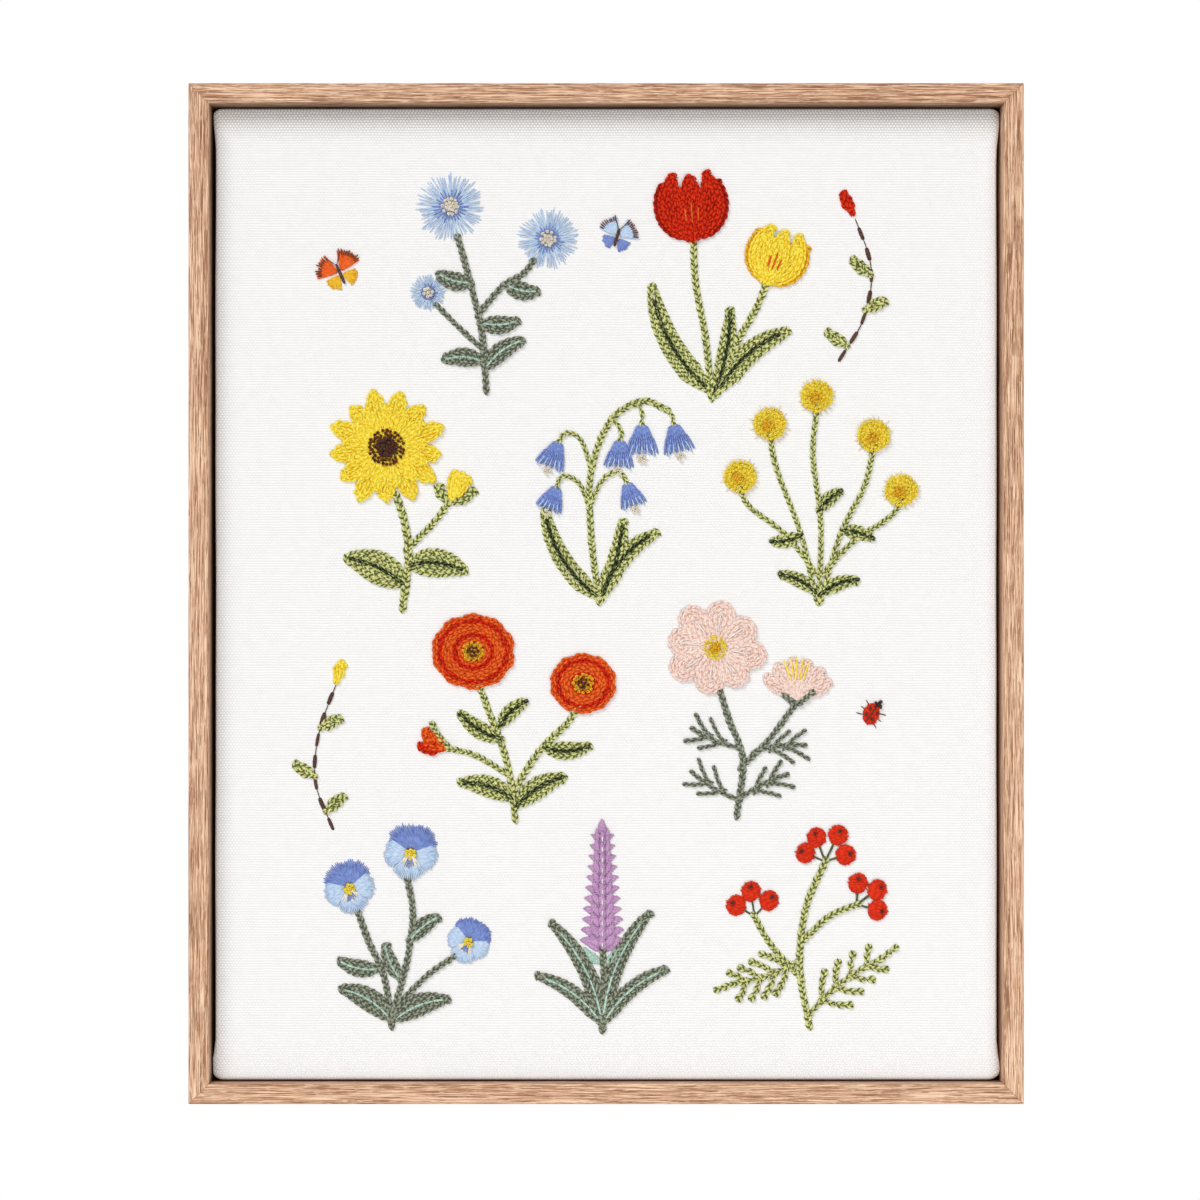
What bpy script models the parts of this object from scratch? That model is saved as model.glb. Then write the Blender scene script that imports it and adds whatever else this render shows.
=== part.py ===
"""A framed embroidery panel: canvas stretched over four bars, set back in a floating frame of four mitred rails.

Metres, +Z up. The front faces -Y. The origin is on the wall side, in the middle of the top rail's back face.
"""

import math

import bmesh
import bpy

# Outer frame
FRAME_WIDTH = 0.4572
FRAME_HEIGHT = 0.5588
FRAME_DEPTH = 0.035
RAIL_FACE = 0.0111
LEDGE_REACH = 0.020
LEDGE_THICKNESS = 0.008
RAIL_EDGE_RADIUS = 0.0008

# Stretched canvas
RECESS = 0.009
SIDE_GAP = 0.0022
END_GAP = 0.0006
CLOTH_THICKNESS = 0.0012
CLOTH_FRONT_RADIUS = 0.003
CLOTH_BACK_RADIUS = 0.002
CLOTH_CORNER_RADIUS = 0.002
CLOTH_INNER_CORNER_RADIUS = 0.0003
HEM_WIDTH = 0.032
FOLD_RAMP = 0.006

# Stretcher bars
BAR_WIDTH = 0.038

# Gap between neighbouring pieces
FIT_GAP = 0.0003

# The folded corners, anticlockwise from the lower right as seen from the front: which way the corner lies, how far
# the fold stands out from the side, and how far it reaches along the side
CORNER_FOLDS = (
    {"right": 1, "up": -1, "stands_out": 0.0018, "reach": 0.008},
    {"right": 1, "up": 1, "stands_out": 0.0015, "reach": 0.013},
    {"right": -1, "up": 1, "stands_out": 0.0013, "reach": 0.009},
    {"right": -1, "up": -1, "stands_out": 0.0015, "reach": 0.011},
)

ARC_STEPS = 4
CLOTH_SHARP_ANGLE = math.radians(40)

# Worked out from the sizes above
RAIL_BACK = RAIL_FACE + LEDGE_REACH
CENTRE_HEIGHT = RAIL_BACK / 2 - FRAME_HEIGHT / 2
CLOTH_WIDTH = FRAME_WIDTH - 2 * (RAIL_FACE + SIDE_GAP)
CLOTH_HEIGHT = FRAME_HEIGHT - 2 * (RAIL_FACE + END_GAP)
CLOTH_FRONT = RECESS - FRAME_DEPTH
CLOTH_BACK = -LEDGE_THICKNESS - FIT_GAP
BAR_INSET = CLOTH_THICKNESS + FIT_GAP
BAR_FRONT = CLOTH_FRONT + BAR_INSET
BAR_BACK = CLOTH_BACK - BAR_INSET
MITRE_SETBACK = FIT_GAP / 2 * math.sqrt(2)


def material(name, colour, roughness):
    finish = bpy.data.materials.new(name)
    finish.use_nodes = True
    shader = finish.node_tree.nodes["Principled BSDF"]
    shader.inputs["Base Color"].default_value = (*colour, 1)
    shader.inputs["Roughness"].default_value = roughness
    shader.inputs["Metallic"].default_value = 0
    finish.diffuse_color = (*colour, 1)
    return finish


def add_object(name, mesh_data, finish, parent):
    mesh_data.normal_update()
    mesh = bpy.data.meshes.new(name)
    mesh_data.to_mesh(mesh)
    mesh_data.free()
    mesh.materials.append(finish)
    piece = bpy.data.objects.new(name, mesh)
    piece.parent = parent
    bpy.context.scene.collection.objects.link(piece)
    return piece


def arc(centre, radius, start, steps=ARC_STEPS):
    """Points of a quarter circle about a centre, turning anticlockwise from the start angle."""
    points = []
    for step in range(steps + 1):
        angle = start + math.pi / 2 * step / steps
        points.append((centre[0] + radius * math.cos(angle), centre[1] + radius * math.sin(angle)))
    return points


def join_rings(mesh_data, rings):
    """Walls between neighbouring rings of vertices, closed by a cap on the first and on the last."""
    for near, far in zip(rings, rings[1:]):
        for index in range(len(near)):
            after = (index + 1) % len(near)
            mesh_data.faces.new((near[index], far[index], far[after], near[after]))
    mesh_data.faces.new(rings[0])
    mesh_data.faces.new(reversed(rings[-1]))
    bmesh.ops.triangulate(mesh_data, faces=[face for face in mesh_data.faces if len(face.verts) > 4])
    bmesh.ops.recalc_face_normals(mesh_data, faces=mesh_data.faces)


def mitred_length(name, section, span, length, turn, finish, parent):
    """A straight length of a section, mitred at both ends and turned into its place on one side of the panel.

    The section lists how far in from the outer edge, and how far back, each of its corners lies. The outer edge is
    half the span from the panel's centre.
    """
    mesh_data = bmesh.new()
    rings = []
    for end in (-1, 1):
        ring = []
        for inward, back in section:
            reach = length / 2 - inward - MITRE_SETBACK
            ring.append(mesh_data.verts.new((end * reach, back, span / 2 - inward)))
        rings.append(ring)
    join_rings(mesh_data, rings)
    piece = add_object(name, mesh_data, finish, parent)
    piece.rotation_euler = (0, turn, 0)
    return piece


def rail_section():
    """The L of a frame rail: the wall with both front edges and its back edge eased, and the ledge behind the cloth."""
    radius = RAIL_EDGE_RADIUS
    front = -FRAME_DEPTH
    return (
        arc((radius, front + radius), radius, math.pi)
        + arc((RAIL_FACE - radius, front + radius), radius, -math.pi / 2)
        + [(RAIL_FACE, -LEDGE_THICKNESS), (RAIL_BACK, -LEDGE_THICKNESS), (RAIL_BACK, 0)]
        + arc((radius, -radius), radius, math.pi / 2)
    )


def bar_section():
    """A stretcher bar, its outer edges rounded under the turned cloth."""
    front_radius = CLOTH_FRONT_RADIUS - BAR_INSET
    back_radius = CLOTH_BACK_RADIUS - BAR_INSET
    return (
        arc((front_radius, BAR_FRONT + front_radius), front_radius, math.pi)
        + [(BAR_WIDTH, BAR_FRONT), (BAR_WIDTH, BAR_BACK)]
        + arc((back_radius, BAR_BACK - back_radius), back_radius, math.pi / 2)
    )


def four_sides(kind, section, width, height, finish, parent):
    sides = (
        ("top", height, width, 0),
        ("right", width, height, math.pi / 2),
        ("bottom", height, width, math.pi),
        ("left", width, height, -math.pi / 2),
    )
    for side, span, length, turn in sides:
        mitred_length(f"{kind}_{side}", section, span, length, turn, finish, parent)


def cloth_ring(mesh_data, inset, back, corner_radius, fold_share):
    """One loop of the cloth round the panel, inset from its outer side, with its share of the folded corners.

    Every other corner is reached along a side, so the points of that side come before the corner's own.
    """
    half_width = CLOTH_WIDTH / 2 - inset
    half_height = CLOTH_HEIGHT / 2 - inset
    ring = []
    for quarter, fold in enumerate(CORNER_FOLDS):
        right, up = fold["right"], fold["up"]
        stands_out = fold["stands_out"] * fold_share
        centre = (right * (half_width - corner_radius), up * (half_height - corner_radius))
        start = (quarter - 1) * math.pi / 2
        along_side = (
            (right * half_width, up * (half_height - fold["reach"]), stands_out),
            (right * half_width, up * (half_height - fold["reach"] - FOLD_RAMP), 0),
        )
        corner = [
            (across, height, stands_out * abs(math.cos(start + math.pi / 2 * step / ARC_STEPS)))
            for step, (across, height) in enumerate(arc(centre, corner_radius, start))
        ]
        if quarter % 2:
            points = [*reversed(along_side), *corner]
        else:
            points = [*corner, *along_side]
        for across, height, fold_width in points:
            outward = math.copysign(fold_width, across)
            ring.append(mesh_data.verts.new((across + outward, back, height)))
    return ring


def cloth_path():
    """The cloth's section from the front face round the edge to the hem, and back along its inner side.

    Each entry is the inset from the outer side, the distance back, the corner radius and the share of the fold.
    """
    front_centre = (CLOTH_FRONT_RADIUS, CLOTH_FRONT + CLOTH_FRONT_RADIUS)
    back_centre = (CLOTH_BACK_RADIUS, CLOTH_BACK - CLOTH_BACK_RADIUS)
    path = []
    for inset, back in reversed(arc(front_centre, CLOTH_FRONT_RADIUS, math.pi)):
        path.append((inset, back, CLOTH_CORNER_RADIUS, 1 - inset / CLOTH_FRONT_RADIUS))
    for inset, back in reversed(arc(back_centre, CLOTH_BACK_RADIUS, math.pi / 2)):
        path.append((inset, back, CLOTH_CORNER_RADIUS, 1 - inset / CLOTH_BACK_RADIUS))
    path.append((HEM_WIDTH, CLOTH_BACK, CLOTH_CORNER_RADIUS, 0))

    inner_side = [(HEM_WIDTH, CLOTH_BACK - CLOTH_THICKNESS)]
    inner_side += arc(back_centre, CLOTH_BACK_RADIUS - CLOTH_THICKNESS, math.pi / 2)
    inner_side += arc(front_centre, CLOTH_FRONT_RADIUS - CLOTH_THICKNESS, math.pi)
    for inset, back in inner_side:
        path.append((inset, back, CLOTH_INNER_CORNER_RADIUS, 0))
    return path


def stretched_cloth(finish, parent):
    mesh_data = bmesh.new()
    rings = [cloth_ring(mesh_data, *entry) for entry in cloth_path()]
    join_rings(mesh_data, rings)
    cloth = add_object("cloth", mesh_data, finish, parent)
    cloth.data.shade_smooth()
    cloth.data.set_sharp_from_angle(angle=CLOTH_SHARP_ANGLE)


def main():
    for old in list(bpy.data.objects):
        bpy.data.objects.remove(old)
    centre = bpy.data.objects.new("panel_centre", None)
    centre.location = (0, 0, CENTRE_HEIGHT)
    bpy.context.scene.collection.objects.link(centre)

    frame_wood = material("frame_wood", (0.62, 0.38, 0.25), 0.55)
    canvas = material("canvas", (0.90, 0.88, 0.85), 0.9)
    stretcher_wood = material("stretcher_wood", (0.72, 0.55, 0.35), 0.7)

    four_sides("rail", rail_section(), FRAME_WIDTH, FRAME_HEIGHT, frame_wood, centre)
    stretcher_width = CLOTH_WIDTH - 2 * BAR_INSET
    stretcher_height = CLOTH_HEIGHT - 2 * BAR_INSET
    four_sides("bar", bar_section(), stretcher_width, stretcher_height, stretcher_wood, centre)
    stretched_cloth(canvas, centre)


main()
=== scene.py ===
"""Finish for the framed embroidery panel: wood grain, ribbed canvas and the stitched flowers."""

import math
from collections import defaultdict

import bpy
import numpy as np
from mathutils import Matrix, Vector


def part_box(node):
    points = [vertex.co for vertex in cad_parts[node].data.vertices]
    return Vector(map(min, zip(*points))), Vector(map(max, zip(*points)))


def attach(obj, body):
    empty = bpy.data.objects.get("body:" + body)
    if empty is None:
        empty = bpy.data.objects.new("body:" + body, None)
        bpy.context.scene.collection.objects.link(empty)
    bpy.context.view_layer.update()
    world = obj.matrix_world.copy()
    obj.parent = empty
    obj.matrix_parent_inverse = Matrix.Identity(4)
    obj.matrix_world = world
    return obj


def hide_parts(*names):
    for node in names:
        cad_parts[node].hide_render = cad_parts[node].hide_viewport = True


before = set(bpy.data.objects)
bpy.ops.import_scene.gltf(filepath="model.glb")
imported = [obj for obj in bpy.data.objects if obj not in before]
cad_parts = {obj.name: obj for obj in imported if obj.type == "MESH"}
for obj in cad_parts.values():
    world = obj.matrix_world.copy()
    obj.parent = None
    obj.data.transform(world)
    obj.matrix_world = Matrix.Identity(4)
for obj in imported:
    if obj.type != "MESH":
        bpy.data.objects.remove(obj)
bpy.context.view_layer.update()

MM = 0.001

# The photograph's framing: its side in pixels, a pixel's size at the frame's front, and the frame's middle
PHOTO_SIDE = 1200
PIXEL = 0.547 * MM
MIDDLE_PIXEL = (606.1, 593.6)
CAMERA_DISTANCE = 1.304
CAMERA_RISE = 0.06
SENSOR = 36

# Each soft light's place, with its height from the panel's middle, its width and height, and its watts
LIGHTS = {
    "key": ((-5.2, -7.6, 7.2), (5.8, 4.4), 695),
    "front": ((2.4, -5.4, -0.6), (3.6, 2.0), 48),
    "below": ((0.6, -2.6, -1.1), (2.8, 0.8), 24),
}
AMBIENT = 0.34
FLOOR_REACH = 3.0
FLOOR_DROP = 1.3

# The frame
RAIL_FACE = 11.1 * MM
RAIL_EDGE_RADIUS = 0.8 * MM
LEDGE_REACH = 20 * MM
LEDGE_THICKNESS = 8 * MM
MITRE_FILL = 0.29 * MM
GLUE_RECESS = 0.25 * MM

# Where the painted shade on the rails' inner faces fades out, past the inner edge and past the ledge's front
EDGE_FADE = (0.1 * MM, 0.7 * MM)
LEDGE_FADE = (0.1 * MM, 0.6 * MM)

# How far behind the front the painted shade on each rail's inner face begins, and where it is darkest
SHADE_DEPTHS = {
    "top": (-10 * MM, 15 * MM),
    "right": (14 * MM, 27 * MM),
    "bottom": (4 * MM, 13 * MM),
    "left": (1 * MM, 17 * MM),
}

# The layers of the wood's grain: streaks to the metre across it and along it, and how much they waver
GRAIN = {
    "broad": (300, 6, 0.0),
    "fine": (1800, 30, 0.2),
    "lines": (2600, 55, 0.2),
    "pores": (2300, 130, 0.0),
    "flecks": (2000, 150, 0.0),
}
RAIL_COLOURS = ("95664A", "D3A482", "F8D5B5")
BAR_COLOURS = ("B98F5E", "DDBE8E", "EED9B2")
# The painted shade deep in the frame's recess, mixed into the rails' inner faces
PAINTED_RECESS_SHADE = "361A0B"
GLUE_COLOUR = "B27E5A"

# The canvas
CLOTH_THICKNESS = 1.2 * MM
FIT_GAP = 0.3 * MM
FRONT_RADIUS = 1.8 * MM
BACK_RADIUS = 2 * MM
HEM_WIDTH = 32 * MM
RIB_PITCH = 1.43 * MM
WARP_PITCH = 0.9 * MM

# The canvas's mesh, finer over the margins of its front, and the slight waves of its front and sides
MARGIN = 14 * MM
COARSE_STEP = 8 * MM
FINE_STEP = 1.2 * MM
EDGE_STEPS = 6
BACK_EDGE_STEPS = 4
FRONT_WAVE = 0.12 * MM
SIDE_WAVE = 0.16 * MM
INNER_CORNER_RADIUS = 0.4 * MM

# Painted shade from the frame on the canvas at the top, left and right edge: where it begins and is
# millimetres past the edge, and how strong it is
CANVAS_SHADES = ((-22, -3, 1.0), (-15, 1, 0.5), (-8, 2, 0.4))

# The canvas's colours: between the ribs, there near the edges lighter and cooler as painted light, there in
# painted shade, on the ribs, there in painted shade, and on the thicker threads
CANVAS_COLOURS = ("E6E4E1", "EDEFF3", "9C928A", "FAF9F9", "E6DFD9", "E4E1DE")

# The folded corners by their side and end of the panel, in millimetres: how far the fold stands out and how
# far it reaches along the side, the length over which it runs out, and the radius of the corner itself
CORNER_FOLDS = {
    (1, -1): (1.9, 6, 15, 5.2),
    (1, 1): (1.6, 6, 21, 3.6),
    (-1, 1): (1.2, 6, 16, 3.6),
    (-1, -1): (1.5, 12, 6, 4.6),
}

# Sewing sizes in millimetres
STEM_WIDTH = 4.2
FILL_WIDTH = 3.3
ROW_WIDTH = FILL_WIDTH * 1.12
ROW_STEP = FILL_WIDTH * 0.82
PADDING_WIDTH = 3.4
RING_STEP = 2.4
CHAIN_PITCH = 3.9
CHAIN_HEIGHT = 1.7
FLOSS_WIDTH = 0.85
FLOSS_HEIGHT = 0.9
KNOT_PITCH = 1.75
KNOT_HEIGHT = 2.0
BACK_STITCH_WIDTH = 0.9
BACK_STITCH_HEIGHT = 0.6

# Half the width and height of the cloth that shows from behind, between the stretcher bars, in millimetres
BACK_SHOWS = (174, 226)

# Each thread's two plies, and how much of the second one shows
THREADS = {
    "leaf": ("E6E79C", "5E6630", 0.45),
    "leaf_vein": ("6A7646", "20281C", 0.62),
    "slate": ("A6AC98", "5C604E", 0.50),
    "mint": ("C6E2D2", "86AC9A", 0.40),
    "red": ("EA3612", "A81600", 0.42),
    "brick": ("C42608", "8A1000", 0.42),
    "orange": ("F8702A", "CC4206", 0.42),
    "yellow": ("FFF25C", "FCC80C", 0.36),
    "gold": ("FACA38", "DE9A16", 0.42),
    "brown": ("8A4E2C", "4A2814", 0.48),
    "cream": ("F8F0E2", "E6D8C0", 0.35),
    "blush": ("FFEADF", "EDBEAE", 0.32),
    "pale_blue": ("CFE0F2", "9AB8E2", 0.38),
    "periwinkle": ("8A9ED8", "566CB6", 0.42),
    "lilac": ("D4AACF", "9E72A6", 0.45),
    "bark": ("64453A", "3A2620", 0.40),
    "white": ("FCFAF6", "E6E2DC", 0.30),
}

# Worked out from the CAD solids
cloth_low, cloth_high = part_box("cloth")
rail_low, rail_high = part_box("rail_top")
PANEL_MIDDLE = (cloth_high[2] + cloth_low[2]) / 2
FRAME_FRONT = rail_low[1]
FRAME_HALF_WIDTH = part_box("rail_right")[1][0]
FRAME_HALF_HEIGHT = rail_high[2] - PANEL_MIDDLE
LEDGE_FRONT = -LEDGE_THICKNESS - FRAME_FRONT
CLOTH_FRONT = cloth_low[1]
CLOTH_BACK = cloth_high[1]
CLOTH_INSIDE = CLOTH_FRONT + CLOTH_THICKNESS
CLOTH_HALF_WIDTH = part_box("bar_right")[1][0] + CLOTH_THICKNESS + FIT_GAP
CLOTH_HALF_HEIGHT = (cloth_high[2] - cloth_low[2]) / 2

# From millimetres on the panel to metres in the frame: across to the right, up, and out of the cloth's face
TO_FRAME = Matrix(((MM, 0, 0, 0), (0, 0, -MM, CLOTH_FRONT), (0, MM, 0, PANEL_MIDDLE), (0, 0, 0, 1)))

# The same for the cloth's inner side, seen from the back: across runs to the left of the frame
TO_BACK = Matrix(((-MM, 0, 0, 0), (0, 0, MM, CLOTH_INSIDE), (0, MM, 0, PANEL_MIDDLE), (0, 0, 0, 1)))


class Wire:
    """A node's output, which can be used in arithmetic."""

    def __init__(self, graph, socket):
        self.graph = graph
        self.socket = socket

    def other(self, name):
        """Another output of the same node."""
        return Wire(self.graph, self.socket.node.outputs[name])

    def maths(self, operation, *values):
        return self.graph.maths(operation, self, *values)

    def __add__(self, value):
        return self.maths("ADD", value)

    __radd__ = __add__

    def __sub__(self, value):
        return self.maths("SUBTRACT", value)

    def __rsub__(self, value):
        return self.graph.maths("SUBTRACT", value, self)

    def __mul__(self, value):
        return self.maths("MULTIPLY", value)

    __rmul__ = __mul__

    def __truediv__(self, value):
        return self.maths("DIVIDE", value)

    def sine(self):
        return self.maths("SINE")

    def floor(self):
        return self.maths("FLOOR")

    def absolute(self):
        return self.maths("ABSOLUTE")

    def highest(self, value):
        return self.maths("MAXIMUM", value)

    def between(self, low, high):
        """0 below low and 1 above high, with a smooth step from one to the other."""
        sockets = {"Value": self, "From Min": low, "From Max": high}
        return self.graph.node("ShaderNodeMapRange", {"interpolation_type": "SMOOTHSTEP"}, sockets)


class Graph:
    """A node tree, for a material or for making shapes."""

    def __init__(self, tree):
        self.tree = tree

    def node(self, kind, settings=None, sockets=None, output=0):
        made = self.tree.nodes.new(kind)
        for name, value in (settings or {}).items():
            setattr(made, name, value)
        for key, value in (sockets or {}).items():
            if isinstance(value, Wire):
                self.tree.links.new(value.socket, made.inputs[key])
            else:
                made.inputs[key].default_value = value
        return Wire(self, made.outputs[output]) if len(made.outputs) else made

    def maths(self, operation, *values):
        return self.node("ShaderNodeMath", {"operation": operation}, dict(enumerate(values)))

    def mix(self, factor, first, second):
        return self.node("ShaderNodeMix", {"data_type": "RGBA"}, {0: factor, 6: first, 7: second}, output=2)

    def noise(self, place, scale, detail=2.0, distortion=0.0):
        sockets = {"Vector": place, "Scale": scale, "Detail": detail, "Distortion": distortion}
        return self.node("ShaderNodeTexNoise", {}, sockets)

    def streaks(self, place, scales, detail=2.0, distortion=0.0):
        """Noise with a scale of its own along each axis."""
        stretched = self.node("ShaderNodeMapping", {}, {"Vector": place, "Scale": scales})
        return self.noise(stretched, 1.0, detail, distortion)

    def carried(self, name, kind="FLOAT"):
        """What a shape carries under a name."""
        kinds = {"data_type": kind}
        return self.node("GeometryNodeInputNamedAttribute", kinds, {"Name": name}, output="Attribute")

    def carry(self, shape, name, value, domain, kind="FLOAT"):
        """The shape with a value stored on it under a name."""
        settings = {"data_type": kind, "domain": domain}
        sockets = {"Geometry": shape, "Name": name, "Value": value}
        return self.node("GeometryNodeStoreNamedAttribute", settings, sockets)


def paint(code):
    """A colour written as six hexadecimal digits, as linear red, green, blue and alpha."""
    channels = [int(code[place : place + 2], 16) / 255 for place in (0, 2, 4)]
    linear = [((value + 0.055) / 1.055) ** 2.4 if value > 0.04045 else value / 12.92 for value in channels]
    return (*linear, 1)


def finish(name, **constants):
    """A material with a Principled shader. Returns it with its graph and its shader."""
    material = bpy.data.materials.new(name)
    material.use_nodes = True
    shader = material.node_tree.nodes["Principled BSDF"]
    for socket, value in constants.items():
        shader.inputs[socket.replace("_", " ")].default_value = value
    return material, Graph(material.node_tree), shader


def feed(graph, shader, **wires):
    for socket, wire in wires.items():
        graph.tree.links.new(wire.socket, shader.inputs[socket.replace("_", " ")])


def bump(graph, height, strength, distance):
    return graph.node("ShaderNodeBump", {}, {"Height": height, "Strength": strength, "Distance": distance})


def new_mesh(name, vertices, faces, edges=(), flat=None):
    """A mesh, with a map if flat gives a place on it for each corner of each face."""
    mesh = bpy.data.meshes.new(name)
    mesh.from_pydata(vertices, edges, faces)
    if flat:
        mesh.uv_layers.new(name="UVMap").data.foreach_set("uv", np.array(flat).ravel())
    return mesh


def new_object(name, data):
    made = bpy.data.objects.new(name, data)
    bpy.context.scene.collection.objects.link(made)
    return made


def plain_mesh(shape):
    """The shape's mesh with its modifiers applied."""
    return bpy.data.meshes.new_from_object(shape.evaluated_get(bpy.context.evaluated_depsgraph_get()))


def wood(name, along, colours, fineness=1.0, inner_edge=None, shade_depths=None):
    """Planed wood with its grain along one axis: broad bands, fine lines and short open pores.

    Painted shade darkens the faces inside the inner edge with their depth behind the front.
    """
    material, graph, shader = finish(name, Specular_IOR_Level=0.3)
    place = graph.node("ShaderNodeTexCoord", output="Object")
    dark, middle, light = (paint(code) for code in colours)
    grain = {}
    for layer, (across, length, wavering) in GRAIN.items():
        scales = [across * fineness] * 3
        scales[along] = length
        grain[layer] = graph.streaks(place, scales, 1.0, wavering)
    pores = grain["pores"].between(0.57, 0.63)
    flecks = grain["flecks"].between(0.58, 0.65)
    tone = grain["broad"] * 0.14 + grain["fine"] * 0.48 + grain["lines"] * 0.38
    colour = graph.mix(tone.between(0.42, 0.50), dark, middle)
    colour = graph.mix(tone.between(0.50, 0.58), colour, light)
    colour = graph.mix(pores * 0.6, colour, dark)
    colour = graph.mix(flecks * 0.55, colour, light)
    # Painted shade: the inner faces darken with depth behind the front, to each rail's own depths
    if inner_edge:
        axes = graph.node("ShaderNodeSeparateXYZ", {}, {0: place}, output="Y")
        span = axes.other("Z") - PANEL_MIDDLE if along == 0 else axes.other("X")
        inside = 1 - span.absolute().between(*(inner_edge + fade for fade in EDGE_FADE))
        depth = axes - FRAME_FRONT
        on_ledge = depth.between(*(LEDGE_FRONT + fade for fade in LEDGE_FADE))
        painted_recess_shade = depth.between(*shade_depths) * (1 - on_ledge)
        colour = graph.mix(inside * painted_recess_shade * 0.96, colour, paint(PAINTED_RECESS_SHADE))
    relief = bump(graph, grain["fine"] + grain["lines"] - pores * 0.5, 0.45, 0.25 * MM)
    feed(graph, shader, Base_Color=colour, Roughness=0.66 - tone * 0.2, Normal=relief)
    return material


def canvas():
    """Plain-woven cotton whose horizontal threads stand out as fine ribs, more dotted towards the edges.

    The map gives metres along the cloth. Painted shade darkens its top and sides, and painted light pales the
    hollows near every edge.
    """
    constants = {"Sheen_Weight": 0.15, "Sheen_Roughness": 0.5, "Specular_IOR_Level": 0.2}
    material, graph, shader = finish("ribbed_canvas", **constants)
    flat = graph.node("ShaderNodeUVMap", {"uv_map": "UVMap"})
    axes = graph.node("ShaderNodeSeparateXYZ", {}, {0: flat}, output="X")
    high = axes.other("Y")
    past_side = axes.absolute() - CLOTH_HALF_WIDTH
    past_end = high.absolute() - CLOTH_HALF_HEIGHT
    rim = past_side.highest(past_end).between(-24 * MM, -3 * MM)
    # Painted shade from the frame, strongest at the top
    past_edges = (high - CLOTH_HALF_HEIGHT, -1 * axes - CLOTH_HALF_WIDTH, axes - CLOTH_HALF_WIDTH)
    shades = [
        past.between(begins * MM, deepest * MM) * strength
        for past, (begins, deepest, strength) in zip(past_edges, CANVAS_SHADES)
    ]
    shade = shades[0].highest(shades[1]).highest(shades[2])

    slub = graph.noise(flat, 90.0)
    across = axes / WARP_PITCH + slub * 0.5
    up = high / RIB_PITCH + slub * 0.5
    patches = graph.noise(flat, 150.0, 3.0).between(0.4, 0.62)
    # The weave shows more dotted near the edges and in the painted shade
    dottedness = rim.highest(shade) * 0.56 + patches * 0.35 + 0.05
    dotted = ((across + up.floor()) * math.pi).sine() * dottedness
    weft = (up * math.pi).sine().absolute() * (dotted + 0.88)
    warp = (across * math.pi).sine().absolute() * 0.5
    height = weft.highest(warp)
    thread = graph.streaks(flat, (25, 680, 1))

    between, painted_light_near_edge, in_shade, on_ribs, ribs_in_shade, thick = (paint(code) for code in CANVAS_COLOURS)
    # Painted light pales and cools the hollows near the edges; painted shade darkens hollows and ribs under the
    # frame
    hollow = graph.mix(rim * 0.8, between, painted_light_near_edge)
    hollow = graph.mix(shade * 0.85, hollow, in_shade)
    raised = graph.mix(shade * 0.2, on_ribs, ribs_in_shade)
    colour = graph.mix(height.between(0.15, 0.85), hollow, raised)
    colour = graph.mix((thread - 0.5).highest(0.0) * 0.6, colour, thick)
    relief = bump(graph, height + thread * 0.25, 0.55, 0.25 * MM)
    feed(graph, shader, Base_Color=colour, Roughness=0.92 - height * 0.08, Normal=relief)
    return material


def yarn(thread, floss=False):
    """Two plies twisted together, read along each stitch from its own map. Floss is finer and glossier."""
    light, dark, share = THREADS[thread]
    gloss = {"Sheen_Weight": 0.03, "Roughness": 0.5} if floss else {"Sheen_Weight": 0.02, "Roughness": 0.85}
    name = f"floss_{thread}" if floss else f"yarn_{thread}"
    twists, ply_contrast, variation, depth = (5.0, 0.5, 0.42, 0.22) if floss else (1.6, 1.0, 0.18, 0.45)
    material, graph, shader = finish(name, Specular_IOR_Level=0.14, **gloss)
    flat = graph.node("ShaderNodeUVMap", {"uv_map": "UVMap"})
    axes = graph.node("ShaderNodeSeparateXYZ", {}, {0: flat}, output="X")
    tone = graph.node("ShaderNodeAttribute", {"attribute_name": "tone"}, {}, output="Fac")
    patch = graph.noise(graph.node("ShaderNodeTexCoord", output="Object"), 420.0)
    turn = (axes * twists + axes.other("Y") + tone) * math.tau
    ply = turn.sine() * 0.5 + 0.5
    edge = 1 - share
    mask = (ply * 0.6 + patch * 0.4).between(edge - 0.12, edge + 0.16)
    colour = graph.mix(mask * ply_contrast, paint(light), paint(dark))
    colour = graph.mix(tone * variation, colour, paint(dark))
    fibres = ((axes * 14.0 + axes.other("Y") * 5.0) * math.tau).sine()
    feed(graph, shader, Base_Color=colour, Normal=bump(graph, ply + fibres * 0.25, 0.5, depth * MM))
    return material


def stitch_shape(name, strands, sides):
    """A unit stitch, one tube for each strand: x along it, y across it and z out of the cloth.

    A strand's entries are x, y, z, half width and half height. The map runs along and round the strand, the
    other way round on the right, so that the plies of a chain lean towards its middle.
    """
    vertices, faces, flat = [], [], []
    for strand in strands:
        first = len(vertices)
        rings = len(strand)
        for step, (x, y, z, half_width, half_height) in enumerate(strand):
            before, after = strand[max(step - 1, 0)], strand[min(step + 1, rings - 1)]
            heading = Vector((after[0] - before[0], after[1] - before[1])).normalized()
            for side in range(sides):
                angle = math.tau * side / sides
                sideways = half_width * math.cos(angle)
                rise = half_height * math.sin(angle)
                vertices.append((x - heading.y * sideways, y + heading.x * sideways, z + rise))
        for step in range(rings - 1):
            near, far = first + step * sides, first + (step + 1) * sides
            left, right = step / (rings - 1), (step + 1) / (rings - 1)
            for side in range(sides):
                after = (side + 1) % sides
                faces.append((near + side, near + after, far + after, far + side))
                low, high = side / sides, (side + 1) / sides
                if strand[1][1] < 0:
                    low, high = 1 - low, 1 - high
                flat += [(left, low), (left, high), (right, high), (right, low)]
        for ring, end in ((0, 0.0), (rings - 1, 1.0)):
            corners = [first + ring * sides + side for side in range(sides)]
            faces.append(corners if ring else corners[::-1])
            flat += [(end, 0.5)] * sides
    mesh = new_mesh(name, vertices, faces, flat=flat)
    mesh.shade_smooth()
    return new_object(name, mesh)


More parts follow.
